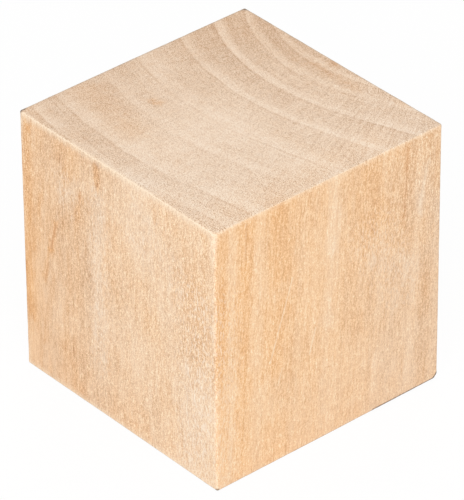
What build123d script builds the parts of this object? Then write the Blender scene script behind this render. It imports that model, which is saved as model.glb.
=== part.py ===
from build123d import *
import os

# A plain wooden cube: one block cross-cut from planed square stock and sanded, with one knocked corner.
# It stands on a sawn end with the grain upright, and the origin is at the middle of that end.

# Stock, in millimetres
section_width = 39.0  # across the grain, along X
section_depth = 39.0  # across the grain, along Y
grain_length = 40.2  # along the grain, from saw cut to saw cut

# Sanding: the long edges are eased further than the edges round the two sawn ends
long_edge_radius = 0.4
end_edge_radius = 0.32

# Knocked corner at the base, where the +X and +Y sides meet
knock_leg = 0.9  # how far the blow took the corner back along each of its three edges
knock_ease_share = 0.3  # the most that its rim can be rounded, as a share of the leg
knock_ease_radius = min(end_edge_radius, knock_ease_share * knock_leg)

with BuildPart() as wooden_cube:
    # Planed square stock, cut to length
    with BuildSketch(Plane.XY):
        Rectangle(section_width, section_depth)
    extrude(amount=grain_length)
    corner = wooden_cube.vertices().group_by(Axis.Z)[0].group_by(Axis.Y)[-1].sort_by(Axis.X)[-1]

    # Eased edges, the four long ones first, so that the end edges run round them in one smooth loop
    fillet(wooden_cube.edges().filter_by(Axis.Z), radius=long_edge_radius)
    fillet(wooden_cube.faces().filter_by(Axis.Z).edges(), radius=end_edge_radius)

    # The knocked corner is a small flat, square to the corner's diagonal, with its rim rubbed round
    knock_plane = Plane(origin=corner.center() - Vector(knock_leg, 0, 0), z_dir=(1, 1, -1))
    split(bisect_by=knock_plane, keep=Keep.BOTTOM)
    knock_flat = wooden_cube.faces().sort_by(Axis(knock_plane.origin, knock_plane.z_dir))[-1]
    fillet(knock_flat.edges(), radius=knock_ease_radius)

wooden_cube.part.label = "wooden_cube"

os.makedirs("parts", exist_ok=True)
export_step(wooden_cube.part, "parts/wooden_cube.step")
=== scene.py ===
"""The looks of a plain wooden cube: a sanded block of pale, bare wood on a white floor, in soft light."""

import logging
import math
from dataclasses import dataclass, field
from enum import Enum
from typing import NamedTuple, Union

import bpy
from mathutils import Matrix, Vector


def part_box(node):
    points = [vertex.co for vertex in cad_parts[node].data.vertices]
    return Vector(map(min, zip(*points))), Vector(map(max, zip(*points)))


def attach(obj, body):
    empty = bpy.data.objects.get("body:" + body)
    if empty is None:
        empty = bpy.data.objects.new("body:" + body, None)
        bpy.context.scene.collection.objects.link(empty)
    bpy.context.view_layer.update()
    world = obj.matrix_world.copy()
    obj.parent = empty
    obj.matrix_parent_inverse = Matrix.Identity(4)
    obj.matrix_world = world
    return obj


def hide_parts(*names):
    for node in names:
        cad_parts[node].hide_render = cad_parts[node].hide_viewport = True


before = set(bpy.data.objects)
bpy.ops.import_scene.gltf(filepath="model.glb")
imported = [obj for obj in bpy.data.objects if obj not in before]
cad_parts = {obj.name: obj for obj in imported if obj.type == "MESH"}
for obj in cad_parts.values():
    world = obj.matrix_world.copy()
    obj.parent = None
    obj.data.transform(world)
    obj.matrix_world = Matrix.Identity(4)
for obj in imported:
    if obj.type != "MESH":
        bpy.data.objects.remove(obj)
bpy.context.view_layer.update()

log = logging.getLogger("wooden_cube")

Colour = tuple[float, float, float]
Triple = tuple[float, float, float]
Spot = tuple[float, float]  # a place on one side, across and down
Stops = tuple[tuple[float, Colour], ...]  # a colour ramp's places and colours

MM = 0.001  # one millimetre, in the scene's metres
IMAGE_SIZE = (464, 500)  # pixels of the finished picture
OUTWARD = "outward"  # the mesh attribute that holds each point's outward direction
NOISE_REACH = 0.5  # how far a noise goes to either side of zero
MIDDLE_TONE = 0.5  # halfway from dark, at 0, to pale, at 1
WHITE = (1.0, 1.0, 1.0)


def linear(level: int) -> float:
    """One screen level, from 0 to 255, as linear light by the sRGB curve."""
    share = level / 255
    return share / 12.92 if share <= 0.04045 else ((share + 0.055) / 1.055) ** 2.4


def seen(red: int, green: int, blue: int) -> Colour:
    """A colour as it looks on a screen, as the linear colour that a shader takes."""
    return linear(red), linear(green), linear(blue)


class Span(NamedTuple):
    """Where a smooth step starts, at 0, and where it is complete, at 1. The start may be the larger."""

    start: float
    end: float


class NoiseLayer(NamedTuple):
    """One noise of the wood."""

    cells: Triple  # the size of one cell along X, Y and Z, in the units of the place it is read at
    seed: float  # which of the endless noises
    detail: float = 2.0  # how many finer layers it has
    rough: float = 0.5  # how strong those are


class Wire:
    """One output socket of a node tree. Python's operators on it add Math or Vector Math nodes."""

    def __init__(self, graph: "Graph", socket: bpy.types.NodeSocket) -> None:
        """Keeps the socket and the tree that it belongs to."""
        self.graph = graph
        self.socket = socket

    @property
    def is_vector(self) -> bool:
        """True where the socket carries three numbers."""
        return self.socket.type == "VECTOR"

    def __add__(self, other: "Operand") -> "Wire":
        """self + other"""
        return self.graph.calculate("ADD", self, other)

    def __radd__(self, other: "Operand") -> "Wire":
        """other + self"""
        return self.graph.calculate("ADD", other, self)

    def __sub__(self, other: "Operand") -> "Wire":
        """self - other"""
        return self.graph.calculate("SUBTRACT", self, other)

    def __rsub__(self, other: "Operand") -> "Wire":
        """other - self"""
        return self.graph.calculate("SUBTRACT", other, self)

    def __mul__(self, other: "Operand") -> "Wire":
        """self * other"""
        return self.graph.calculate("MULTIPLY", self, other)

    def __rmul__(self, other: "Operand") -> "Wire":
        """other * self"""
        return self.graph.calculate("MULTIPLY", other, self)

    def __truediv__(self, other: "Operand") -> "Wire":
        """self / other"""
        return self.graph.calculate("DIVIDE", self, other)

    def __rtruediv__(self, other: "Operand") -> "Wire":
        """other / self"""
        return self.graph.calculate("DIVIDE", other, self)

    def __abs__(self) -> "Wire":
        """The size of the value, or of each part of a vector."""
        return self.graph.calculate("ABSOLUTE", self)

    def parts(self) -> tuple["Wire", "Wire", "Wire"]:
        """The X, Y and Z parts of a vector."""
        node = self.graph.node("ShaderNodeSeparateXYZ", {}, {"Vector": self})
        return tuple(Wire(self.graph, node.outputs[axis]) for axis in "XYZ")


Operand = Union[Wire, float, Triple]


class Graph:
    """A node tree for a material or for geometry, built by expressions."""

    def __init__(self, tree: bpy.types.NodeTree) -> None:
        """Starts from an empty tree."""
        self.tree = tree
        tree.nodes.clear()

    def node(self, kind: str, settings: dict, values: dict) -> bpy.types.Node:
        """Adds one node.

        Args:
            kind: The node's type.
            settings: Its properties, set first. "stops" holds a colour ramp's stops.
            values: Numbers, or wires to link, by the input's identifier or name.

        Returns:
            The new node.
        """
        made = self.tree.nodes.new(kind)
        for name, value in settings.items():
            if name == "stops":
                self._set_stops(made.color_ramp, value)
            else:
                setattr(made, name, value)
        for name, value in values.items():
            self._feed(self._pick(made.inputs, name), value)
        return made

    def wire(self, kind: str, settings: dict, values: dict, output: Union[str, int] = 0) -> Wire:
        """Adds one node and gives one of its outputs.

        Args:
            kind: The node's type.
            settings: Its properties, as for node().
            values: Its inputs, as for node().
            output: The output's identifier, name or number.

        Returns:
            That output, as a wire.
        """
        outputs = self.node(kind, settings, values).outputs
        return Wire(self, outputs[output] if isinstance(output, int) else self._pick(outputs, output))

    def _feed(self, socket: bpy.types.NodeSocket, value: Operand) -> None:
        """Links a wire to an input, or sets the input's own value.

        Args:
            socket: The input.
            value: The wire or the value.
        """
        if isinstance(value, Wire):
            self.tree.links.new(value.socket, socket)
        else:
            socket.default_value = value

    @staticmethod
    def _pick(sockets: bpy.types.bpy_prop_collection, name: str) -> bpy.types.NodeSocket:
        """The socket with this identifier, or else with this name."""
        by_id = [s for s in sockets if s.identifier == name]
        return by_id[0] if by_id else sockets[name]

    @staticmethod
    def _set_stops(ramp: bpy.types.ColorRamp, stops: Stops) -> None:
        """Gives a colour ramp these stops and no others, with smooth changes between them.

        Args:
            ramp: The ramp.
            stops: Its places and colours.
        """
        ramp.interpolation = "EASE"
        while len(ramp.elements) > 1:
            ramp.elements.remove(ramp.elements[-1])
        for number, (place, colour) in enumerate(stops):
            element = ramp.elements[0] if number == 0 else ramp.elements.new(place)
            element.position = place
            element.color = (*colour, 1.0)

    def calculate(self, operation: str, *operands: Operand) -> Wire:
        """One Math node, or one Vector Math node where any operand has three numbers.

        Args:
            operation: The node's operation.
            operands: Its inputs in order.

        Returns:
            The result.
        """
        vector = any(isinstance(o, tuple) or (isinstance(o, Wire) and o.is_vector) for o in operands)
        numbers = [o for o in operands if isinstance(o, Wire) and not o.is_vector]
        if vector and operation == "MULTIPLY" and len(numbers) == 1:
            scaled = operands[1] if operands[0] is numbers[0] else operands[0]
            values = {"Vector": scaled, "Scale": numbers[0]}
            return self.wire("ShaderNodeVectorMath", {"operation": "SCALE"}, values, "Vector")
        made = self.node("ShaderNodeVectorMath" if vector else "ShaderNodeMath", {"operation": operation}, {})
        for socket, operand in zip(made.inputs, operands):
            one_for_all = vector and not isinstance(operand, (Wire, tuple))
            self._feed(socket, (operand,) * 3 if one_for_all else operand)
        one_number = vector and operation in ("DOT_PRODUCT", "LENGTH", "DISTANCE")
        return Wire(self, made.outputs["Value" if one_number or not vector else "Vector"])

    def combine(self, x: Operand, y: Operand, z: Operand) -> Wire:
        """A vector from three values."""
        return self.wire("ShaderNodeCombineXYZ", {}, {"X": x, "Y": y, "Z": z})

    def clamp(self, value: Wire, high: float = 1.0) -> Wire:
        """value kept between 0 and high."""
        return self.calculate("MINIMUM", self.calculate("MAXIMUM", value, 0.0), high)

    def smooth(self, value: Wire, span: Span) -> Wire:
        """A smooth step.

        Args:
            value: What the step follows.
            span: Where it starts and where it is complete.

        Returns:
            0 before the span and 1 after it.
        """
        rising = span.start <= span.end
        values = {"Value": value, "From Min": min(span), "From Max": max(span),
                  "To Min": float(not rising), "To Max": float(rising)}
        return self.wire("ShaderNodeMapRange", {"interpolation_type": "SMOOTHSTEP"}, values, "Result")

    def noise(self, place: Wire, layer: NoiseLayer, colour: bool = False, seed: Operand = 0.0) -> Wire:
        """Smooth noise about zero.

        Args:
            place: Where it is read.
            layer: Its cells, seed, detail and roughness.
            colour: True for three noises, as a vector.
            seed: What is added to the layer's own seed.

        Returns:
            The noise, within NOISE_REACH of zero.
        """
        scaled = place * tuple(1 / cell for cell in layer.cells)
        values = {"Vector": scaled, "W": seed + layer.seed, "Scale": 1.0, "Detail": layer.detail,
                  "Roughness": layer.rough}
        output = "Color" if colour else "Fac"
        raw = self.wire("ShaderNodeTexNoise", {"noise_dimensions": "4D"}, values, output)
        return self.calculate("SUBTRACT", raw, (NOISE_REACH,) * 3 if colour else NOISE_REACH)

    def distance(self, place: Wire, start: Triple, end: Triple) -> Wire:
        """How far place is from the straight line between two places.

        Args:
            place: The point.
            start: One end of the line.
            end: The other end, which may be the same place.

        Returns:
            The distance.
        """
        axis = tuple(b - a for a, b in zip(start, end))
        square = sum(part * part for part in axis)
        if not square:
            return self.calculate("DISTANCE", place, start)
        along = self.clamp(self.calculate("DOT_PRODUCT", place - start, axis) / square)
        return self.calculate("DISTANCE", place, along * axis + start)

    def near(self, place: Wire, start: Triple, end: Triple, fade: Span) -> Wire:
        """A smooth step over the distance to the line between start and end."""
        return self.smooth(self.distance(place, start, end), fade)

    def middle(self, first: Wire, second: Wire, third: Wire) -> Wire:
        """The middle one of three values.

        Args:
            first: One value.
            second: Another.
            third: The last.

        Returns:
            The value that lies between the other two.
        """
        low = self.calculate("MINIMUM", first, second)
        high = self.calculate("MAXIMUM", first, second)
        return self.calculate("MAXIMUM", low, self.calculate("MINIMUM", high, third))

    def ramp(self, value: Wire, stops: Stops) -> Wire:
        """A colour ramp read at value."""
        return self.wire("ShaderNodeValToRGB", {"stops": stops}, {"Fac": value}, "Color")

    def mix(self, share: Operand, first: Union[Wire, Colour], second: Union[Wire, Colour]) -> Wire:
        """A colour between first and second."""
        values = {"Factor_Float": share, "A_Color": self._opaque(first), "B_Color": self._opaque(second)}
        return self.wire("ShaderNodeMix", {"data_type": "RGBA"}, values, "Result_Color")

    @staticmethod
    def _opaque(colour: Union[Wire, Colour]) -> Union[Wire, tuple[float, float, float, float]]:
        """A plain colour with full alpha, or the wire as it is."""
        return colour if isinstance(colour, Wire) else (*colour, 1.0)


class GrowthRing(NamedTuple):
    """One year's growth, from the last ring's edge to its own. Lengths are shares of the block's depth."""

    edge: float  # its outer edge, from the back side
    early: float  # tone where it starts
    late: float  # tone further out
    pale: float  # how much paler the band along its edge is
    pale_width: float  # how wide that band is
    line: float  # how much darker the thin line at its edge is


@dataclass(frozen=True)
class GrowthRings:
    """The rings about a heart line beyond the block's back side. Shares are of the block's depth."""

    rings: tuple[GrowthRing, ...] = (
        GrowthRing(0.060, 0.32, 0.40, 0.35, 0.025, 0.10),
        GrowthRing(0.142, 0.28, 0.45, 0.35, 0.030, 0.00),
        GrowthRing(0.255, 0.42, 0.40, 0.50, 0.030, 0.22),
        GrowthRing(0.384, 0.26, 0.46, 0.30, 0.030, 0.18),
        GrowthRing(0.555, 0.40, 0.56, 0.20, 0.050, 0.36),
        GrowthRing(0.702, 0.62, 0.54, 0.18, 0.030, 0.00),
        GrowthRing(0.901, 0.40, 0.52, 0.19, 0.044, 0.28),
        GrowthRing(1.001, 0.38, 0.42, 0.32, 0.034, 0.12),
        GrowthRing(1.120, 0.32, 0.40, 0.30, 0.030, 0.10),
        GrowthRing(1.240, 0.40, 0.50, 0.20, 0.030, 0.00),
    )
    span: float = 1.25  # how far the pattern runs
    heart_x: float = -0.075  # the heart line's place along X, from the middle
    near_radius: float = 0.65  # radius of the rings at the back side
    radius_growth: float = 1.15  # how much flatter the rings get for each step towards the front
    flat_from: float = 0.3  # how far past the heart line, towards +X, the rings start to flatten
    flattening: float = 1.2  # how fast they flatten from there
    sway_noise: NoiseLayer = NoiseLayer((15.0, 15.0, 50.0), 6.0, rough=0.4)
    sway: Triple = (1.6, 1.6, 0.0)  # how far the rings stray in broad bends, in millimetres
    wobble_noise: NoiseLayer = NoiseLayer((3.2, 3.2, 20.0), 7.0)
    wobble: float = 0.4  # how far they stray in short bends, in millimetres
    turn: float = 0.005  # half the width of the change from one ring to the next
    pale_rise: Span = Span(1.4, 0.5)  # where a pale band fades in, in its own widths before the edge
    pale_fall: float = 0.8  # where it fades out, in turns to either side of the edge
    line_fade: Span = Span(0.006, 0.001)  # how far from its middle a thin line fades in
    line_level: float = 0.8  # how much of a thin line shows
    line_breaks: float = 2.0  # how much the fibres break it up

    def place(self, graph: Graph, fibre: Wire, depth: float) -> tuple[Wire, Wire]:
        """Where a point lies in the rings.

        Args:
            graph: The material's tree.
            fibre: The point, in millimetres, followed up its fibre to the top end.
            depth: The block's depth in millimetres.

        Returns:
            Its distance outwards as a share of the block's depth, and its angle round the heart line.
        """
        sway = graph.noise(fibre, self.sway_noise, colour=True)
        wobble = graph.noise(fibre, self.wobble_noise)
        x, y, _ = (fibre + sway * self.sway).parts()
        inward = depth / 2 - y
        across = x - self.heart_x * depth
        radius = inward * self.radius_growth + self.near_radius * depth
        flat = 1.0 - graph.calculate("MAXIMUM", across / depth - self.flat_from, 0.0) * self.flattening
        outwards = inward + across * across * flat / (radius * 2.0) + wobble * self.wobble
        return outwards / depth, across / radius

    def tone(self, graph: Graph, share: Wire, rough: Wire) -> Wire:
        """How pale the wood is in its ring.

        Args:
            graph: The material's tree.
            share: The distance outwards, as a share of the block's depth.
            rough: Fine noise that breaks the thin lines up.

        Returns:
            The tone, from 0 to 1.
        """
        stops, start = [], 0.0
        for ring in self.rings:
            stops.append(((start + self.turn) / self.span, (ring.early,) * 3))
            stops.append(((ring.edge - self.turn) / self.span, (ring.late,) * 3))
            start = ring.edge
        ground = graph.ramp(share / self.span, tuple(stops))
        tone = graph.wire("ShaderNodeRGBToBW", {}, {"Color": ground})
        fall_reach = self.turn * self.pale_fall
        for ring in self.rings:
            rise = graph.smooth(share, Span(*(ring.edge - ring.pale_width * part for part in self.pale_rise)))
            fall = graph.smooth(share, Span(ring.edge + fall_reach, ring.edge - fall_reach))
            tone = tone + rise * fall * ring.pale
            if ring.line:
                line = graph.smooth(abs(share - (ring.edge + self.turn)), self.line_fade)
                tone = tone - line * graph.clamp(self.line_level + rough * self.line_breaks) * ring.line
        return tone


def from_base(shares: Triple, size: Triple) -> Triple:
    """A place in shares of the block from its middle, as one in millimetres from the middle of its base."""
    return shares[0] * size[0], shares[1] * size[1], (shares[2] + 0.5) * size[2]


class Side(Enum):
    """The sides that carry marks of their own. Each has its ways across, up and out, as seen from outside."""

    TOP = ((1, 0, 0), (0, 1, 0), (0, 0, 1))
    LEFT = ((1, 0, 0), (0, 0, 1), (0, -1, 0))
    RIGHT = ((0, 1, 0), (0, 0, 1), (1, 0, 0))
    BACK_RIGHT = ((-1, 0, 0), (0, 0, 1), (0, 1, 0))
    BACK_LEFT = ((0, -1, 0), (0, 0, 1), (-1, 0, 0))

    def place(self, spot: Spot, size: Triple) -> Triple:
        """A place on this side.

        Args:
            spot: Across, from 0 at the side's left edge to 1 at its right one, and down, from 0 at its top
                edge to 1 at its bottom one.
            size: The block's size in millimetres.

        Returns:
            The place in millimetres.
        """
        across, up = spot[0] - 0.5, 0.5 - spot[1]
        shares = (right * across + top * up + out * 0.5 for right, top, out in zip(*self.value))
        return from_base(tuple(shares), size)


class GrainMark(NamedTuple):
    """A streak, band or fleck in the wood that runs from start to end."""

    start: Spot
    end: Spot
    radius: float  # millimetres
    tone: float  # how much paler it is, or darker below 0
    warmth: float  # how much more orange it is, or greyer below 0


class FleckedArea(NamedTuple):
    """A stretch where whitish flecks lie along the fibres."""

    start: Spot
    end: Spot
    radius: float  # millimetres
    strength: float


class FineLine(NamedTuple):
    """A pale scratch or a brown thread."""

    start: Spot
    end: Spot
    radius: float  # millimetres
    strength: float
    colour: Colour


Stroke = Union[GrainMark, FleckedArea, FineLine]


class SideMarks(NamedTuple):
    """What one side carries."""

    side: Side
    grain: tuple[GrainMark, ...]
    flecked: tuple[FleckedArea, ...] = ()
    lines: tuple[FineLine, ...] = ()


class DarkMarkAndShade(NamedTuple):
    """A dark line or dot on an edge or corner, from start to end as shares of the block from its middle. Some
    are painted shade.
    """

    start: Triple
    end: Triple
    radius: float  # millimetres
    strength: float


# pale rubbed wood for the scratches, and the colour of the painted highlight on the edges
PALE_RUB_AND_HIGHLIGHT = seen(252, 232, 206)
BROWN = seen(196, 132, 86)

LEFT_MARKS = SideMarks(
    side=Side.LEFT,
    grain=(
        GrainMark((0.405, 0.015), (0.405, 0.085), 0.72, -0.54, 0.18),
        GrainMark((0.175, 0.360), (0.145, 0.480), 0.55, -0.14, 0.34),
        GrainMark((0.145, 0.480), (0.110, 0.600), 0.55, -0.10, 0.22),
        GrainMark((0.020, 0.050), (0.020, 0.780), 1.40, -0.32, 0.26),
        GrainMark((0.400, 0.140), (0.395, 0.850), 1.30, 0.15, -0.14),
        GrainMark((0.475, 0.280), (0.480, 0.780), 2.20, -0.12, 0.04),
        GrainMark((0.300, 0.150), (0.230, 0.235), 1.30, 0.26, -0.15),
        GrainMark((0.300, 0.250), (0.240, 0.600), 3.40, -0.11, 0.00),
        GrainMark((0.510, 0.220), (0.660, 0.500), 2.40, -0.04, 0.12),
        GrainMark((0.660, 0.500), (0.780, 0.900), 2.40, -0.05, 0.12),
        GrainMark((0.915, 0.700), (0.900, 0.950), 4.80, 0.22, -0.02),
        GrainMark((0.040, 0.600), (0.030, 0.950), 2.00, 0.00, 0.10),
        GrainMark((0.100, 0.280), (0.060, 0.520), 0.60, -0.14, 0.12),
        GrainMark((0.155, 0.600), (0.100, 0.860), 0.70, -0.12, 0.10),
        GrainMark((0.210, 0.560), (0.175, 0.820), 0.80, 0.18, 0.00),
        GrainMark((0.310, 0.170), (0.280, 0.340), 0.60, -0.12, 0.14),
        GrainMark((0.600, 0.020), (0.580, 0.260), 4.00, 0.18, -0.08),
        GrainMark((0.900, 0.240), (0.910, 0.480), 4.50, -0.33, 0.10),
        GrainMark((0.740, 0.350), (0.760, 0.620), 3.00, 0.14, 0.08),
        GrainMark((0.550, 0.940), (0.610, 0.950), 3.60, -0.30, 0.08),
        GrainMark((0.280, 0.620), (0.380, 0.900), 4.50, -0.16, -0.02),
        GrainMark((0.050, 0.030), (0.060, 0.700), 2.50, 0.20, 0.24),
        GrainMark((0.230, 0.820), (0.280, 0.970), 1.90, -0.25, 0.10),
        GrainMark((0.140, 0.650), (0.130, 0.950), 1.40, 0.15, 0.00),
        GrainMark((0.045, 0.045), (0.055, 0.035), 0.60, -0.35, 0.30),
        GrainMark((0.320, 0.150), (0.315, 0.190), 0.60, -0.30, 0.20),
        GrainMark((0.250, 0.040), (0.250, 0.100), 2.60, -0.14, 0.14),
        GrainMark((0.740, 0.040), (0.760, 0.080), 3.00, 0.00, 0.20),
        GrainMark((0.430, 0.200), (0.420, 0.300), 2.40, 0.00, -0.14),
        GrainMark((0.260, 0.680), (0.540, 0.680), 6.00, 0.20, 0.00),
        GrainMark((0.050, 0.920), (0.650, 0.950), 3.20, 0.13, 0.00),
        GrainMark((0.260, 0.250), (0.600, 0.250), 2.60, -0.08, 0.00),
    ),
    flecked=(
        FleckedArea((0.405, 0.140), (0.400, 0.800), 2.20, 0.62),
        FleckedArea((0.925, 0.330), (0.895, 0.930), 4.60, 0.90),
        FleckedArea((0.220, 0.170), (0.240, 0.230), 2.50, 0.60),
        FleckedArea((0.640, 0.070), (0.780, 0.260), 3.50, 0.36),
        FleckedArea((0.550, 0.200), (0.640, 0.230), 2.20, 0.50),
    ),
    lines=(
        FineLine((0.702, 0.620), (0.690, 0.780), 0.12, 0.40, PALE_RUB_AND_HIGHLIGHT),
        FineLine((0.178, 0.365), (0.150, 0.465), 0.20, 0.48, BROWN),
        FineLine((0.316, 0.165), (0.306, 0.215), 0.16, 0.25, BROWN),
        FineLine((0.132, 0.530), (0.115, 0.605), 0.15, 0.25, BROWN),
    ),
)
RIGHT_MARKS = SideMarks(
    side=Side.RIGHT,
    grain=(
        GrainMark((0.030, 0.050), (0.030, 0.900), 1.00, -0.11, 0.15),
        GrainMark((0.075, 0.000), (0.070, 0.950), 0.70, 0.18, 0.00),
        GrainMark((0.135, 0.020), (0.135, 0.160), 1.40, -0.18, 0.18),
        GrainMark((0.130, 0.200), (0.110, 0.950), 1.60, -0.12, 0.19),
        GrainMark((0.190, 0.000), (0.180, 0.950), 0.80, 0.14, 0.00),
        GrainMark((0.285, 0.000), (0.280, 0.280), 2.00, -0.13, 0.22),
        GrainMark((0.280, 0.400), (0.255, 0.620), 2.20, -0.10, 0.20),
        GrainMark((0.520, 0.000), (0.515, 0.280), 1.10, 0.42, -0.10),
        GrainMark((0.515, 0.280), (0.485, 0.550), 1.00, 0.18, -0.10),
        GrainMark((0.620, 0.020), (0.620, 0.280), 3.00, -0.17, -0.02),
        GrainMark((0.570, 0.400), (0.570, 0.600), 1.80, -0.10, 0.00),
        GrainMark((0.690, 0.060), (0.720, 0.240), 1.60, -0.18, 0.06),
        GrainMark((0.880, 0.320), (0.850, 0.950), 7.00, 0.03, -0.34),
        GrainMark((0.695, 0.390), (0.690, 0.410), 0.80, 0.34, -0.15),
        GrainMark((0.850, 0.440), (0.840, 0.540), 0.60, 0.24, -0.10),
        GrainMark((0.935, 0.130), (0.900, 0.290), 0.60, 0.28, -0.20),
        GrainMark((0.925, 0.480), (0.920, 0.960), 1.10, -0.24, -0.10),
        GrainMark((0.250, 0.930), (0.750, 0.920), 7.00, 0.11, -0.04),
        GrainMark((0.240, 0.860), (0.250, 0.950), 3.00, 0.02, 0.22),
        GrainMark((0.580, 0.050), (0.960, 0.060), 2.80, 0.00, -0.07),
        GrainMark((0.740, 0.260), (0.860, 0.360), 3.60, -0.06, 0.24),
        GrainMark((0.845, 0.020), (0.825, 0.320), 0.70, -0.18, 0.06),
        GrainMark((0.930, 0.580), (0.920, 0.640), 3.20, -0.04, 0.16),
        GrainMark((0.430, 0.220), (0.420, 0.480), 2.60, 0.13, 0.08),
        GrainMark((0.485, 0.550), (0.470, 0.950), 1.20, 0.12, -0.05),
        GrainMark((0.600, 0.740), (0.720, 0.780), 3.00, 0.10, 0.00),
        GrainMark((0.985, 0.300), (0.985, 0.950), 1.30, 0.06, -0.18),
        GrainMark((0.250, 0.720), (0.240, 0.790), 2.60, 0.13, 0.00),
    ),
    flecked=(
        FleckedArea((0.700, 0.300), (0.820, 0.550), 4.50, 0.50),
    ),
    lines=(
        FineLine((0.335, 0.310), (0.235, 0.600), 0.13, 0.50, PALE_RUB_AND_HIGHLIGHT),
        FineLine((0.437, 0.550), (0.410, 0.640), 0.15, 0.45, PALE_RUB_AND_HIGHLIGHT),
        FineLine((0.938, 0.110), (0.905, 0.270), 0.15, 0.35, PALE_RUB_AND_HIGHLIGHT),
        FineLine((0.290, 0.640), (0.270, 0.700), 0.12, 0.35, PALE_RUB_AND_HIGHLIGHT),
        FineLine((0.846, 0.030), (0.830, 0.290), 0.16, 0.30, BROWN),
        FineLine((0.136, 0.020), (0.132, 0.150), 0.20, 0.30, BROWN),
    ),
)
BACK_RIGHT_MARKS = SideMarks(
    side=Side.BACK_RIGHT,
    grain=(
        GrainMark((0.180, 0.000), (0.170, 0.950), 1.40, -0.22, 0.25),
        GrainMark((0.260, 0.050), (0.240, 0.980), 1.00, 0.24, -0.10),
        GrainMark((0.420, 0.350), (0.520, 0.000), 1.20, -0.20, 0.20),
        GrainMark((0.520, 0.000), (0.640, 0.380), 1.20, -0.20, 0.20),
        GrainMark((0.530, 0.200), (0.530, 0.900), 3.50, 0.20, -0.15),
        GrainMark((0.820, 0.100), (0.840, 0.700), 2.20, -0.18, 0.15),
    ),
)
BACK_LEFT_MARKS = SideMarks(
    side=Side.BACK_LEFT,
    grain=(
        GrainMark((0.060, 0.000), (0.050, 0.950), 0.90, 0.25, 0.00),
        GrainMark((0.250, 0.050), (0.240, 0.900), 1.00, -0.25, 0.25),
        GrainMark((0.375, 0.000), (0.370, 0.980), 1.30, 0.25, -0.10),
        GrainMark((0.560, 0.300), (0.550, 0.980), 1.00, -0.25, 0.20),
        GrainMark((0.700, 0.000), (0.690, 0.600), 1.80, 0.18, -0.15),
        GrainMark((0.890, 0.200), (0.880, 0.800), 1.20, -0.20, 0.20),
    ),
)
TOP_MARKS = SideMarks(
    side=Side.TOP,
    grain=(
        GrainMark((0.258, 0.628), (0.276, 0.628), 0.80, -0.42, 0.43),
        GrainMark((0.440, 0.520), (0.500, 0.820), 5.40, 0.16, 0.00),
        GrainMark((0.000, 0.735), (0.340, 0.800), 2.60, -0.17, 0.17),
        GrainMark((0.340, 0.800), (0.600, 0.815), 2.20, -0.07, 0.05),
        GrainMark((0.680, 0.450), (0.920, 0.430), 1.50, -0.16, 0.05),
        GrainMark((0.430, 0.070), (0.650, 0.065), 0.90, -0.20, 0.15),
        GrainMark((0.050, 0.080), (0.600, 0.080), 4.00, -0.12, 0.06),
        GrainMark((0.100, 0.770), (0.750, 0.780), 4.50, 0.11, 0.00),
        GrainMark((0.250, 0.940), (0.600, 0.940), 2.50, -0.16, 0.00),
        GrainMark((0.950, 0.250), (0.950, 0.950), 4.00, 0.00, 0.18),
        GrainMark((0.060, 0.050), (0.060, 0.300), 4.00, 0.00, 0.05),
        GrainMark((0.910, 0.230), (0.960, 0.230), 2.60, 0.20, 0.00),
        GrainMark((0.230, 0.560), (0.280, 0.560), 2.60, 0.12, 0.00),
        GrainMark((0.070, 0.420), (0.100, 0.425), 2.80, 0.16, 0.00),
        GrainMark((0.050, 0.580), (0.110, 0.585), 2.40, -0.13, 0.00),
    ),
)


@dataclass(frozen=True)
class WoodNoises:
    """The noises in the wood, from single fibres to broad patches. Their cells are in millimetres."""

    fuzz: NoiseLayer = NoiseLayer((0.17, 0.17, 0.85), 1.0, detail=1.0)
    speck: NoiseLayer = NoiseLayer((0.12, 0.12, 0.20), 10.0, detail=0.0)
    thread: NoiseLayer = NoiseLayer((0.32, 0.32, 4.5), 2.0)
    streak: NoiseLayer = NoiseLayer((1.8, 1.8, 26.0), 3.0)
    patch: NoiseLayer = NoiseLayer((8.0, 8.0, 15.0), 4.0)
    layer: NoiseLayer = NoiseLayer((0.40, 7.0, 14.0), 8.0)  # outwards through the rings, across and up
    ray: NoiseLayer = NoiseLayer((1 / 75, 1 / 9, 20.0), 5.0, detail=1.0)  # angle, share of the depth and up
    stray: NoiseLayer = NoiseLayer((0.8, 0.8, 4.0), 9.0)
    blush: NoiseLayer = NoiseLayer((0.9, 0.9, 2.5), 13.0, detail=1.0)
    strand: NoiseLayer = NoiseLayer((0.7, 0.7, 10.0), 14.0, detail=1.0)
    fleck: NoiseLayer = NoiseLayer((0.21, 0.21, 0.70), 12.0, detail=0.0)


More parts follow.
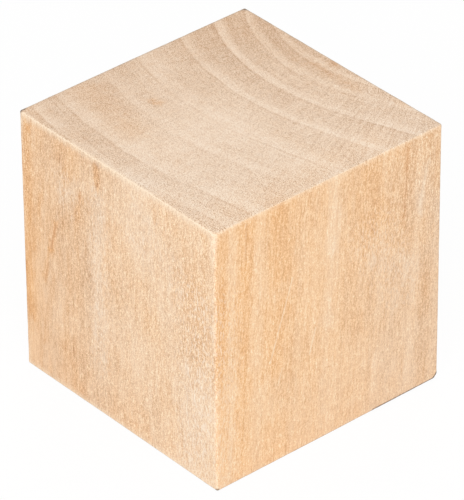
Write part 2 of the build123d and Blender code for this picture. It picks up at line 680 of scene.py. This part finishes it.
class WoodPoint:
    """What the shader knows of the point that it colours. Lengths are in millimetres.

    Each noise has the name of its layer, and ring is the tone of the growth ring. out_x, out_y, out_z and
    out_front tell which way the surface faces, and end is 1 on the sawn ends. ragged is the place, moved a
    little so that marks have ragged edges. edge and gap_z are the distances to the nearest edge and to the
    nearest end, share_x, share_y and share_z place the point in the block, and front is 1 at the front edge.
    """

    END_TURN = Span(0.55, 0.85)  # how squarely a surface faces up or down where a side becomes an end
    FRONT = Span(0.2, 1.0)  # how far towards the front edge, from the middle at 0 to that edge at 1

    def __init__(self, graph: Graph, size: Triple, wood: "BareWood") -> None:
        """Reads where the point is, which way its surface faces, and the noises and the ring there.

        Args:
            graph: The material's tree.
            size: The block's size.
            wood: The finish.
        """
        self.graph = graph
        self.size = size
        width, depth, length = size
        noises = wood.noises
        self.place = graph.wire("ShaderNodeTexCoord", {}, {}, "Object") * (1 / MM)
        outward = graph.wire("ShaderNodeAttribute", {"attribute_name": OUTWARD}, {}, "Vector")
        self.out_x, self.out_y, self.out_z = abs(outward).parts()
        self.out_front = graph.clamp(graph.calculate("DOT_PRODUCT", outward, (0.0, -1.0, 0.0)))
        self.end = graph.smooth(self.out_z, self.END_TURN)
        x, y, z = self.place.parts()
        fibre = graph.combine(x, y + (length - z) * wood.lean, z)
        self.fuzz = graph.noise(fibre, noises.fuzz)
        self.speck = graph.noise(fibre, noises.speck)
        self.thread = graph.noise(fibre, noises.thread)
        self.streak = graph.noise(fibre, noises.streak)
        self.patch = graph.noise(fibre, noises.patch)
        outwards, angle = wood.rings.place(graph, fibre, depth)
        self.layer = graph.noise(graph.combine(outwards * depth, x, z), noises.layer)
        self.ray = graph.noise(graph.combine(angle, outwards, z), noises.ray)
        self.ring = wood.rings.tone(graph, outwards, self.fuzz + self.thread)
        self.ragged = self.place + graph.noise(fibre, noises.stray, colour=True) * wood.straying
        self.blush = graph.noise(fibre, noises.blush)
        self.strand = graph.noise(fibre, noises.strand)
        self.fleck = graph.noise(fibre, noises.fleck)
        self.gap_z = length / 2 - abs(z - length / 2)
        self.edge = graph.middle(width / 2 - abs(x), depth / 2 - abs(y), self.gap_z)
        self.share_x = x / width
        self.share_y = y / depth
        self.share_z = z / length
        self.front = graph.smooth((x - y) / width, self.FRONT)


@dataclass(frozen=True)
class GrainTone:
    """How far the larger grain shifts the tone, on the sides and the ends alike."""

    thread: float = 0.45
    streak: float = 0.24
    patch: float = 0.16
    layer: float = 0.22
    mark: float = 0.45
    rightwards: float = 0.18  # how much paler it gets from left to right
    right_span: Span = Span(-0.45, 0.20)  # between these shares of the width
    backwards: float = -0.08  # how much paler it gets from front to back
    level: float = -0.11

    def at(self, point: WoodPoint, mark_tone: Wire) -> Wire:
        """The shift at a point.

        Args:
            point: The point.
            mark_tone: What the marks do to the tone.

        Returns:
            How far the larger grain shifts the tone.
        """
        drift = (point.graph.smooth(point.share_x, self.right_span) * self.rightwards
                 + point.share_y * self.backwards + self.level)
        return (point.thread * self.thread + point.streak * self.streak + point.patch * self.patch
                + point.layer * self.layer + mark_tone * self.mark + drift)


@dataclass(frozen=True)
class SideTone:
    """How pale the planed sides are. Spans are shares of the block, across from -0.5 and up from 0."""

    level: float = 0.475
    along_x: float = -0.03  # added on the two sides that face along X
    ring: float = 0.16  # how much of the rings shows
    front_ring: float = -0.03  # what stands for them on the side towards -Y
    strand: float = 0.32  # how much of the strands shows on the two sides that face along Y
    fuzz: float = 0.95  # how much fuzz there is to the specks
    pale_gain: float = 0.9  # how much further pale fibres stand out than dark ones
    fine_level: float = -0.012
    lively: float = 0.87  # how strong the fine grain is
    lively_y: float = 0.33  # more on the two sides that face along Y
    lively_front: float = 0.45  # more there towards the front edge
    calm: float = 0.55  # less there low on the left
    calm_across: Span = Span(-0.12, -0.46)
    calm_up: Span = Span(0.85, 0.35)
    lively_x: float = 0.02  # more on the two sides that face along X
    crisp: float = 0.45  # more there high at the back
    crisp_across: Span = Span(0.0, 0.5)
    crisp_up: Span = Span(0.3, 1.0)

    def fine(self, point: WoodPoint) -> Wire:
        """The fine grain of the sides.

        Args:
            point: The point.

        Returns:
            How far it shifts the tone.
        """
        smooth = point.graph.smooth
        calm = smooth(point.share_x, self.calm_across) * smooth(point.share_z, self.calm_up)
        crisp = smooth(point.share_y, self.crisp_across) * smooth(point.share_z, self.crisp_up)
        strength = (self.lively
                    + point.out_y * (self.lively_y + point.front * self.lively_front - calm * self.calm)
                    + point.out_x * (self.lively_x + crisp * self.crisp))
        even = (point.fuzz * self.fuzz + point.speck) * strength
        return even * (1.0 + even * self.pale_gain) + self.fine_level

    def at(self, point: WoodPoint, fine: Wire, grain: Wire) -> Wire:
        """The tone of the sides.

        Args:
            point: The point.
            fine: The shift of the fine grain.
            grain: The shift of the larger grain.

        Returns:
            The tone.
        """
        ring = (point.ring - MIDDLE_TONE) * self.ring
        ring = ring + (self.front_ring - ring) * point.out_front
        return (self.level + point.out_x * self.along_x + ring + fine
                + point.strand * point.out_y * self.strand + grain)


@dataclass(frozen=True)
class EndTone:
    """How pale the sawn ends are. Spans are shares of the block from its middle."""

    level: float = 0.49
    ring: float = 0.40  # how much of the rings shows, more in some patches than in others
    fuzz: float = 1.2
    speck: float = 1.4
    right_gain: float = 0.25  # how much more of the fuzz and specks shows on the right
    right_span: Span = Span(-0.3, 0.2)
    front_gain: float = 0.5  # and towards the front edge
    thread: float = -0.15
    layer: float = 0.12
    ray: float = 0.3
    corner_ray: float = 0.5  # more of the rays towards the +X, +Y edge
    corner_span: Span = Span(0.1, 0.9)
    rim: float = -0.05  # the darker line round the end
    rim_inset: float = 0.7  # how far in it lies, in millimetres
    rim_fade: Span = Span(0.5, 0.0)  # how far from its middle it fades in, in millimetres

    def at(self, point: WoodPoint, grain: Wire) -> Wire:
        """The tone of the ends.

        Args:
            point: The point.
            grain: The shift of the larger grain.

        Returns:
            The tone.
        """
        smooth = point.graph.smooth
        corner = smooth(point.share_x + point.share_y, self.corner_span)
        right = smooth(point.share_x, self.right_span)
        rim = smooth(abs(point.edge - self.rim_inset), self.rim_fade)
        return (self.level + (point.ring - MIDDLE_TONE) * (self.ring + point.patch)
                + (point.fuzz * self.fuzz + point.speck * self.speck) * (1.0 + right * self.right_gain)
                + point.thread * self.thread + point.layer * self.layer
                + point.ray * (self.ray + corner * self.corner_ray) + grain
                + (point.fuzz + point.speck) * point.front * self.front_gain + rim * self.rim)


@dataclass(frozen=True)
class Warmth:
    """How orange the wood is, from 0, greyish, to 1."""

    side: float = 0.545
    turn: float = 0.096  # more on the two sides that face along X, and less on those along Y
    along_x: float = 0.03  # more on the two sides that face along X
    front: float = 0.10  # more there in the front half
    front_span: Span = Span(0.15, -0.15)  # between these shares of the depth
    streak: float = 0.32
    patch: float = 0.32
    fine: float = 0.6
    end: float = 0.075
    mark: float = 0.8
    blush: float = 0.26

    def at(self, point: WoodPoint, fine: Wire, mark_warmth: Wire) -> Wire:
        """The warmth at a point.

        Args:
            point: The point.
            fine: The shift of the sides' fine grain.
            mark_warmth: What the marks do to the warmth.

        Returns:
            The warmth, from 0 to 1.
        """
        front = point.graph.smooth(point.share_y, self.front_span)
        side = (self.side + (point.out_x - point.out_y) * self.turn
                + point.out_x * (self.along_x + front * self.front)
                + point.streak * self.streak + point.patch * self.patch + fine * self.fine)
        return point.graph.clamp(side * (1.0 - point.end) + point.end * self.end
                                 + mark_warmth * self.mark + point.blush * self.blush)


@dataclass(frozen=True)
class EdgeWearAndHighlight:
    """The pale edges: rubbed wear, and in part a painted highlight where the eased edges catch the light."""

    colour: Colour = PALE_RUB_AND_HIGHLIGHT
    turned: float = 0.30  # how much shows where the surface turns from one side to the next: a painted highlight on the rounding
    turned_span: Span = Span(0.995, 0.80)  # how squarely it faces one way there
    rim: float = 0.42  # how much shows beside an edge
    rim_span: Span = Span(0.80, 0.10)  # how far in from the edge, in millimetres
    rim_spread: float = 0.4  # how much less that counts on the two sides that face along Y, as a share
    rim_straying: float = 1.2  # how far the threads shift it, in millimetres
    along_y: float = 0.4  # more on the two sides that face along Y
    along_x: float = -0.3  # less on the two that face along X
    ends: float = -0.7  # less on the ends
    upright: float = -0.90  # less on the upright edges, away from their ends
    upright_span: Span = Span(0.5, 6.0)  # how far from their ends, in millimetres
    low: float = -0.35  # less low down
    low_upright: float = -0.30  # and less still on the upright edges there
    low_span: Span = Span(0.6, 0.3)  # between these shares of the height
    most: float = 2.0
    breaks: float = 1.6  # how much the fuzz and the specks break it up

    def at(self, point: WoodPoint) -> Wire:
        """How worn a point is, with the painted highlight on its edges.

        Args:
            point: The point.

        Returns:
            The share of the pale colour, for wear and painted highlight, from 0 to 1.
        """
        graph = point.graph
        sideways = graph.calculate("MAXIMUM", point.out_x, point.out_y)
        squarest = graph.calculate("MAXIMUM", sideways, point.out_z)
        inside = point.edge * (1.0 - point.out_y * self.rim_spread) + point.thread * self.rim_straying
        rubbed_and_highlight = (graph.smooth(squarest, self.turned_span) * self.turned
                  + graph.smooth(inside, self.rim_span) * self.rim)
        upright = graph.smooth(point.gap_z, self.upright_span)
        low = graph.smooth(point.share_z, self.low_span)
        touched = (1.0 + point.out_y * self.along_y + point.out_x * self.along_x + point.end * self.ends
                   + upright * (self.upright + low * self.low_upright) + low * self.low)
        broken = 1.0 + point.fuzz * self.breaks + point.speck * self.breaks
        return graph.clamp(rubbed_and_highlight * graph.clamp(touched, high=self.most) * broken)


@dataclass(frozen=True)
class BareWood:
    """Sanded, unfinished pale wood."""

    name: str = "bare_wood"
    lean: float = 0.056  # how far the fibres lean towards the front, for each step down
    noises: WoodNoises = WoodNoises()
    rings: GrowthRings = GrowthRings()
    grain_tone: GrainTone = GrainTone()
    side_tone: SideTone = SideTone()
    end_tone: EndTone = EndTone()
    warmth: Warmth = Warmth()
    wear_and_highlight: EdgeWearAndHighlight = EdgeWearAndHighlight()
    marks: tuple[SideMarks, ...] = (LEFT_MARKS, RIGHT_MARKS, BACK_RIGHT_MARKS, BACK_LEFT_MARKS, TOP_MARKS)
    mark_reach: float = 1.6  # how far a mark fades out, in its radii
    straying: Triple = (2.0, 2.0, 5.0)  # how ragged the marks are, in millimetres
    fleck_span: Span = Span(0.04, 0.15)  # the noise between the flecks and on them
    fleck_cover: float = 0.62  # how far a fleck hides the wood
    line_breaks: float = 2.0  # how much the fuzz breaks up the fine lines
    dark_marks_and_shade: tuple[DarkMarkAndShade, ...] = (
        # dark dots at three corners, and dark lines on the base edge and corner beside the knocked corner
        DarkMarkAndShade((-0.5, 0.5, 0.5), (-0.5, 0.5, 0.5), 1.20, 1.00),
        DarkMarkAndShade((-0.5, -0.5, 0.5), (-0.5, -0.485, 0.5), 0.68, 0.85),
        DarkMarkAndShade((0.5, -0.5, -0.5), (0.5, -0.5, -0.5), 0.65, 0.9),
        DarkMarkAndShade((0.5, 0.477, -0.5), (0.5, 0.20, -0.5), 0.46, 0.9),
        DarkMarkAndShade((0.5, 0.477, -0.5), (0.5, 0.5, -0.478), 0.42, 0.9),
        # painted shade along the two far top edges, which face away from the lamps
        DarkMarkAndShade((-0.5, 0.5, 0.5), (0.5, 0.5, 0.5), 0.55, 0.32),
        DarkMarkAndShade((-0.5, 0.5, 0.5), (-0.5, -0.5, 0.5), 0.55, 0.32),
        # painted contact shadow along the two front base edges
        DarkMarkAndShade((0.5, 0.3, -0.5), (0.5, -0.5, -0.5), 0.34, 0.25),
        DarkMarkAndShade((-0.5, -0.5, -0.5), (0.5, -0.5, -0.5), 0.34, 0.25),
    )
    dark_mark_core: float = 0.3  # how much of a mark's radius is fully dark
    dark_mark_breaks: float = 2.0  # how much the threads break it up
    warm_stops: Stops = (
        (0.00, seen(205, 135, 77)),
        (0.25, seen(231, 174, 116)),
        (0.50, seen(246, 199, 149)),
        (0.75, seen(253, 215, 171)),
        (1.00, seen(255, 233, 202)),
    )
    grey_stops: Stops = (
        (0.00, seen(186, 150, 118)),
        (0.25, seen(215, 184, 154)),
        (0.50, seen(231, 205, 180)),
        (0.75, seen(241, 217, 193)),
        (1.00, seen(249, 231, 211)),
    )
    fleck_colour: Colour = seen(254, 239, 222)
    # for the dark marks and the painted shade on the edges
    dark_mark_and_shade_colour: Colour = seen(96, 74, 60)
    roughness: float = 0.66
    fuzz_roughness: float = 0.3
    fuzz_height: float = 0.7
    thread_height: float = 0.4
    bump_depth: float = 0.05 * MM
    bump_strength: float = 0.5
    specular: float = 0.25

    def make(self, block: "WoodenCube") -> bpy.types.Material:
        """Builds the material for this block.

        Args:
            block: The block, whose sizes place the rings and the marks.

        Returns:
            The material.
        """
        material = bpy.data.materials.new(self.name)
        material.use_nodes = True
        graph = Graph(material.node_tree)
        point = WoodPoint(graph, (block.width / MM, block.depth / MM, block.length / MM), self)
        mark_tone, mark_warmth = self._mark_shifts(point)
        flecks = self._flecks(point)
        grain = self.grain_tone.at(point, mark_tone)
        fine = self.side_tone.fine(point)
        side_tone = self.side_tone.at(point, fine, grain)
        tone = side_tone + (self.end_tone.at(point, grain) - side_tone) * point.end
        warmth = self.warmth.at(point, fine, mark_warmth)
        colour = graph.mix(warmth, graph.ramp(tone, self.grey_stops), graph.ramp(tone, self.warm_stops))
        colour = graph.mix(flecks * self.fleck_cover, colour, self.fleck_colour)
        colour = self._lined(point, colour)
        # pale edges: rubbed wear and a painted highlight
        colour = graph.mix(self.wear_and_highlight.at(point), colour, self.wear_and_highlight.colour)
        self._dress(point, self._with_dark_marks_and_shade(point, colour))
        return material

    def _near(self, point: WoodPoint, place: Wire, side: Side, stroke: Stroke) -> Wire:
        """How near a place is to a stroke on a side, from 0 out of its reach to 1 on its line."""
        ends = side.place(stroke.start, point.size), side.place(stroke.end, point.size)
        return point.graph.near(place, *ends, Span(stroke.radius * self.mark_reach, 0.0))

    def _mark_shifts(self, point: WoodPoint) -> tuple[Wire, Wire]:
        """What the marks do to the tone and the warmth.

        Args:
            point: The point.

        Returns:
            The shift of the tone and of the warmth.
        """
        shifts: Operand = (0.0, 0.0, 0.0)
        for marks in self.marks:
            for mark in marks.grain:
                near = self._near(point, point.ragged, marks.side, mark)
                shifts = near * (mark.tone, mark.warmth, 0.0) + shifts
        tone, warmth, _ = shifts.parts()
        return tone, warmth

    def _flecks(self, point: WoodPoint) -> Wire:
        """How much of a whitish fleck shows.

        Args:
            point: The point.

        Returns:
            The share, from 0 to 1.
        """
        share: Operand = 0.0
        for marks in self.marks:
            for area in marks.flecked:
                share = self._near(point, point.ragged, marks.side, area) * area.strength + share
        return point.graph.smooth(point.fleck, self.fleck_span) * point.graph.clamp(share)

    def _lined(self, point: WoodPoint, colour: Wire) -> Wire:
        """Draws the fine lines.

        Args:
            point: The point.
            colour: The colour under them.

        Returns:
            The colour with them.
        """
        for marks in self.marks:
            for line in marks.lines:
                near = self._near(point, point.place, marks.side, line)
                share = point.graph.clamp(near * (1.0 + point.fuzz * self.line_breaks) * line.strength)
                colour = point.graph.mix(share, colour, line.colour)
        return colour

    def _with_dark_marks_and_shade(self, point: WoodPoint, colour: Wire) -> Wire:
        """Draws the dark dots and lines on corners and edges, and the painted shade along the far top edges
        and the front base edges.

        Args:
            point: The point.
            colour: The colour under them.

        Returns:
            The colour with them.
        """
        for dark_mark in self.dark_marks_and_shade:
            ends = from_base(dark_mark.start, point.size), from_base(dark_mark.end, point.size)
            fade = Span(dark_mark.radius, dark_mark.radius * self.dark_mark_core)
            near = point.graph.near(point.place, *ends, fade)
            share = point.graph.clamp(near * (1.0 + point.thread * self.dark_mark_breaks) * dark_mark.strength)
            colour = point.graph.mix(share, colour, self.dark_mark_and_shade_colour)
        return colour

    def _dress(self, point: WoodPoint, colour: Wire) -> None:
        """Ends the material's tree with a dull surface that has a fine relief.

        Args:
            point: The point.
            colour: Its colour.
        """
        graph = point.graph
        height = point.fuzz * self.fuzz_height + point.thread * self.thread_height
        relief = {"Height": height, "Distance": self.bump_depth, "Strength": self.bump_strength}
        surface = graph.wire("ShaderNodeBsdfPrincipled", {}, {
            "Base Color": colour, "Roughness": self.roughness + point.fuzz * self.fuzz_roughness,
            "Normal": graph.wire("ShaderNodeBump", {}, relief), "Specular IOR Level": self.specular}, "BSDF")
        graph.node("ShaderNodeOutputMaterial", {}, {"Surface": surface})


@dataclass
class WoodenCube:
    """The block, with worn edges and a knocked corner, made by a rule from its box."""

    DIPS = NoiseLayer((1.3, 1.3, 7.0), 4.0)  # in millimetres, with the seed counted from the block's own
    WANDER = NoiseLayer((2.2, 2.2, 2.2), -4.0)
    width: float  # along X
    depth: float  # along Y
    length: float  # along the grain, upwards
    finish: BareWood = field(default_factory=BareWood)
    rows: int = 113  # points along each edge
    crowding: float = 0.8  # how far the rows crowd towards the edges, from 0 to 1
    long_edge_radius: float = 0.4 * MM
    end_edge_radius: float = 0.32 * MM
    end_reach: float = 4.0  # how far from an end the long edges have their own radius, in radii
    edge_wander: float = 0.25  # how much the radii wander, as a share
    sanding_bias: float = 0.25  # how much rounder end edges along X are mid-way, and sharper those along Y
    corner_wear: float = 0.9  # how much rounder the top front corner is, as a share
    corner_reach: Span = Span(4.0 * MM, 0.4 * MM)  # how far from that corner this starts and is complete
    knock_leg: float = 0.9 * MM  # how far the blow took the corner back along each of its edges
    knock_ease: float = 0.08 * MM  # how far the rim is rounded to either side of the slant
    relief: float = 0.02 * MM  # depth of the dips in the surface
    seed: float = 7.0

    def build(self) -> bpy.types.Object:
        """Makes the block as a plain mesh, dresses it and stands it for the CAD node.

        Returns:
            The block's object.
        """
        sizes = {
            "Size": (self.width, self.depth, self.length), "Rows": self.rows, "Crowding": self.crowding,
            "Long Edge Radius": self.long_edge_radius, "End Edge Radius": self.end_edge_radius,
            "Edge Wander": self.edge_wander, "Sanding Bias": self.sanding_bias,
            "Corner Wear": self.corner_wear, "Knock Leg": self.knock_leg, "Knock Ease": self.knock_ease,
            "Relief": self.relief, "Seed": self.seed, "Material": self.finish.make(self)}
        tree = self._tree(tuple(sizes))
        block = bpy.data.objects.new("worn_wooden_cube", bpy.data.meshes.new("worn_wooden_cube"))
        bpy.context.scene.collection.objects.link(block)
        rule = block.modifiers.new("rule", "NODES")
        rule.node_group = tree
        for item in tree.interface.items_tree:
            if item.in_out == "INPUT":
                rule[item.identifier] = sizes[item.name]
        graph = bpy.context.evaluated_depsgraph_get()
        made = bpy.data.meshes.new_from_object(
            block.evaluated_get(graph), preserve_all_data_layers=True, depsgraph=graph)
        block.modifiers.remove(rule)
        block.data = made
        made.name = block.name
        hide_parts("wooden_cube")
        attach(block, "root")
        return block

    def _tree(self, names: tuple[str, ...]) -> bpy.types.NodeTree:
        """The rule as a tree of geometry nodes.

        Args:
            names: The names of its inputs.

        Returns:
            The tree.
        """
        tree = bpy.data.node_groups.new("worn_block", "GeometryNodeTree")
        graph = Graph(tree)
        kinds = {"Size": "Vector", "Rows": "Int", "Material": "Material"}
        for name in names:
            kind = "NodeSocket" + kinds.get(name, "Float")
            tree.interface.new_socket(name, in_out="INPUT", socket_type=kind)
        tree.interface.new_socket("Geometry", in_out="OUTPUT", socket_type="NodeSocketGeometry")
        entry = graph.node("NodeGroupInput", {}, {})
        given = {name: Wire(graph, entry.outputs[name]) for name in names}

        half = given["Size"] * 0.5
        half_z = half.parts()[2]
        cube = graph.wire("GeometryNodeMeshCube", {}, {
            "Size": (2.0, 2.0, 2.0), "Vertices X": given["Rows"], "Vertices Y": given["Rows"],
            "Vertices Z": given["Rows"]}, "Mesh")
        unit = graph.wire("GeometryNodeInputPosition", {}, {})
        sharp = self._crowded(graph, unit, given["Crowding"]) * half
        radius = self._edge_radius(graph, sharp, half, given)
        core = graph.calculate("MINIMUM", graph.calculate("MAXIMUM", sharp, radius - half), half - radius)
        outward = graph.calculate("NORMALIZE", sharp - core)
        eased = core + outward * radius
        knocked = self._knocked(graph, eased, half, given)
        dip = graph.noise(sharp * (1 / MM), self.DIPS, seed=given["Seed"]) + NOISE_REACH
        settled = knocked - outward * (graph.clamp(dip) * given["Relief"])
        standing = settled + graph.combine(0.0, 0.0, half_z)

        per_point = {"data_type": "FLOAT_VECTOR", "domain": "POINT"}
        marked = graph.wire("GeometryNodeStoreNamedAttribute", per_point, {
            "Geometry": cube, "Name": OUTWARD, "Value": outward})
        shaped = graph.wire("GeometryNodeSetPosition", {}, {"Geometry": marked, "Position": standing})
        smooth = graph.wire("GeometryNodeSetShadeSmooth", {}, {"Geometry": shaped, "Shade Smooth": True})
        whole = graph.wire("GeometryNodeRealizeInstances", {}, {"Geometry": smooth})
        dressed = graph.wire("GeometryNodeSetMaterial", {}, {
            "Geometry": whole, "Material": given["Material"]})
        graph.node("NodeGroupOutput", {}, {"Geometry": dressed})
        return tree

    @staticmethod
    def _crowded(graph: Graph, unit: Wire, crowding: Wire) -> Wire:
        """Moves the rows of a cube towards its edges.

        Args:
            graph: The rule's tree.
            unit: The point on a cube that reaches from -1 to 1.
            crowding: How far the rows crowd, from 0 to 1.

        Returns:
            The point, moved along its side.
        """
        reach = abs(unit)
        rest = 1.0 - reach
        return graph.calculate("SIGN", unit) * (reach * (1.0 - crowding) + (1.0 - rest * rest) * crowding)

    def _edge_radius(self, graph: Graph, sharp: Wire, half: Wire, given: dict[str, Wire]) -> Wire:
        """How far the edges are eased near a point.

        Args:
            graph: The rule's tree.
            sharp: The point on the sharp block.
            half: Half the block's size.
            given: The tree's inputs.

        Returns:
            The radius, which wanders along each edge.
        """
        _, _, gap_z = (half - abs(sharp)).parts()
        share_x, share_y, _ = (abs(sharp) / half).parts()
        upright = graph.clamp(gap_z / (given["Long Edge Radius"] * self.end_reach))
        end = given["End Edge Radius"] * (1.0 + (share_y - share_x) * given["Sanding Bias"])
        radius = end + (given["Long Edge Radius"] - end) * upright
        rubbed_corner = half * (1.0, -1.0, 1.0)
        corner = graph.smooth(graph.calculate("DISTANCE", sharp, rubbed_corner), self.corner_reach)
        wander = graph.noise(sharp * (1 / MM), self.WANDER, seed=given["Seed"]) / NOISE_REACH
        return radius * (1.0 + wander * given["Edge Wander"] + corner * given["Corner Wear"])

    @staticmethod
    def _knocked(graph: Graph, eased: Wire, half: Wire, given: dict[str, Wire]) -> Wire:
        """Takes the knocked corner off at a slant, with a rounded rim.

        Args:
            graph: The rule's tree.
            eased: The point on the eased block.
            half: Half the block's size.
            given: The tree's inputs.

        Returns:
            The point, moved in square to the slant where the corner is gone.
        """
        leg, ease = given["Knock Leg"], given["Knock Ease"]
        side = 1 / math.sqrt(3)
        facing = graph.combine(side, side, -side)
        on_edge = half * (1.0, 1.0, -1.0) - graph.combine(leg, 0.0, 0.0)
        past = graph.calculate("DOT_PRODUCT", eased - on_edge, facing)
        turned = graph.clamp((past + ease) / (ease * 2.0))
        cut = turned * turned * ease + graph.calculate("MAXIMUM", past - ease, 0.0)
        return eased - facing * cut


class Softbox(NamedTuple):
    """One square lamp that faces the block."""

    name: str
    azimuth: float  # its place round the block, in degrees
    elevation: float  # its height above the floor, in degrees
    distance: float  # how far off it stands, in metres
    size: float  # the length of its side, in metres
    power: float  # watts


@dataclass
class Studio:
    """A white floor, soft light from all round and from the front, and the camera."""

    middle: Vector  # the middle of the block
    camera_azimuth: float = 49.296  # degrees
    camera_elevation: float = 33.896  # degrees
    camera_roll: float = -0.438  # degrees
    camera_distance: float = 663.0 * MM
    aim_right: float = 0.089 * MM  # how far the camera aims past the middle
    aim_up: float = -0.617 * MM
    focal_pixels: float = 5021.7  # focal length in pixels of the finished picture
    sensor_width: float = 36.0  # millimetres
    clip: tuple[float, float] = (0.01, 20.0)  # the nearest and farthest that the camera sees, in metres
    floor_size: float = 6.0  # metres
    floor_height: float = 0.02 * MM
    floor_paint: Colour = (0.84, 0.84, 0.84)  # as soft light finds it
    floor_glow: float = 0.93  # how much of its white the camera sees whatever the light
    sky_strength: float = 0.62  # as soft light finds it, where 1 is white
    lamps: tuple[Softbox, ...] = (
        Softbox("front_softbox", 44.0, 36.0, 0.9, 0.7, 4.6),
        Softbox("back_softbox", 230.0, 9.5, 1.0, 0.8, 4.5),
        Softbox("under_softbox", 230.0, -60.0, 0.9, 0.7, 3.2),
    )

    def build(self) -> None:
        """Sets up everything around the block."""
        bpy.context.scene.view_settings.view_transform = "Standard"
        self._sky()
        self._floor()
        for lamp in self.lamps:
            self._lamp(lamp)
        self._camera()

    @staticmethod
    def _direction(azimuth: float, elevation: float) -> Vector:
        """The way from the block towards a place at these angles, in degrees."""
        turn, rise = math.radians(azimuth), math.radians(elevation)
        return Vector((math.sin(turn) * math.cos(rise), -math.cos(turn) * math.cos(rise), math.sin(rise)))

    def _sky(self) -> None:
        """White for the camera and a plain soft light for everything else."""
        world = bpy.data.worlds.new("studio")
        world.use_nodes = True
        graph = Graph(world.node_tree)
        direct = self._seen_directly(graph)
        strength = direct + (1.0 - direct) * self.sky_strength
        light = graph.wire("ShaderNodeBackground", {}, {"Color": (*WHITE, 1.0), "Strength": strength})
        graph.node("ShaderNodeOutputWorld", {}, {"Surface": light})
        bpy.context.scene.world = world

    @staticmethod
    def _seen_directly(graph: Graph) -> Wire:
        """Tells rays that show a surface from soft light.

        Args:
            graph: The tree of a material or the world.

        Returns:
            1 for rays from the camera and rays that a mirror or glass sends on, and 0 for soft light.
        """
        path = graph.node("ShaderNodeLightPath", {}, {})
        names = ("Is Camera Ray", "Is Glossy Ray", "Is Transmission Ray")
        from_camera, from_mirror, from_glass = (Wire(graph, path.outputs[name]) for name in names)
        return graph.clamp(from_camera + from_mirror + from_glass)

    def _floor(self) -> None:
        """A wide white floor that keeps a faint shadow, and isn't there when seen from below."""
        reach = self.floor_size / 2
        ways = ((-1, -1), (1, -1), (1, 1), (-1, 1))
        mesh = bpy.data.meshes.new("floor")
        mesh.from_pydata([(x * reach, y * reach, self.floor_height) for x, y in ways], [], [(0, 1, 2, 3)])
        floor = bpy.data.objects.new("floor", mesh)
        bpy.context.scene.collection.objects.link(floor)
        material = bpy.data.materials.new("white_floor")
        material.use_nodes = True
        graph = Graph(material.node_tree)
        direct = self._seen_directly(graph)
        matt = graph.wire("ShaderNodeBsdfDiffuse", {}, {"Color": graph.mix(direct, self.floor_paint, WHITE)})
        glow = graph.wire("ShaderNodeEmission", {}, {"Color": (*WHITE, 1.0), "Strength": 1.0})
        share = direct * self.floor_glow
        top = graph.wire("ShaderNodeMixShader", {}, {"Fac": share, "Shader": matt, "Shader_001": glow})
        clear = graph.wire("ShaderNodeBsdfTransparent", {}, {})
        under = graph.wire("ShaderNodeNewGeometry", {}, {}, "Backfacing")
        both = graph.wire("ShaderNodeMixShader", {}, {"Fac": under, "Shader": top, "Shader_001": clear})
        graph.node("ShaderNodeOutputMaterial", {}, {"Surface": both})
        mesh.materials.append(material)

    def _lamp(self, softbox: Softbox) -> None:
        """Hangs one lamp.

        Args:
            softbox: The lamp's name, place, size and power.
        """
        light = bpy.data.lights.new(softbox.name, "AREA")
        light.shape = "SQUARE"
        light.size = softbox.size
        light.energy = softbox.power
        lamp = bpy.data.objects.new(softbox.name, light)
        way = self._direction(softbox.azimuth, softbox.elevation)
        lamp.location = self.middle + way * softbox.distance
        lamp.rotation_euler = way.to_track_quat("Z", "Y").to_euler()
        lamp.visible_camera = False
        bpy.context.scene.collection.objects.link(lamp)

    def _camera(self) -> None:
        """The camera at the picture's angle, level apart from a slight roll."""
        data = bpy.data.cameras.new("camera")
        data.sensor_width = self.sensor_width
        data.lens = self.focal_pixels * data.sensor_width / max(IMAGE_SIZE)
        data.clip_start, data.clip_end = self.clip
        camera = bpy.data.objects.new("camera", data)
        way = self._direction(self.camera_azimuth, self.camera_elevation)
        level = way.to_track_quat("Z", "Y").to_matrix()
        aim = self.middle + level.col[0] * self.aim_right + level.col[1] * self.aim_up
        turn = level.to_4x4() @ Matrix.Rotation(math.radians(self.camera_roll), 4, "Z")
        camera.matrix_world = Matrix.Translation(aim + way * self.camera_distance) @ turn
        bpy.context.scene.collection.objects.link(camera)
        bpy.context.scene.camera = camera


def main() -> None:
    """Builds the block and its studio in order, and reports each piece."""
    logging.basicConfig(level=logging.INFO, format="%(name)s: %(message)s")
    low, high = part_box("wooden_cube")
    size = high - low
    cube = WoodenCube(width=size.x, depth=size.y, length=size.z)
    block = cube.build()
    log.info("%s has %d faces", block.name, len(block.data.polygons))
    Studio(middle=(low + high) / 2).build()
    log.info("studio ready")


if __name__ == "__main__":
    main()
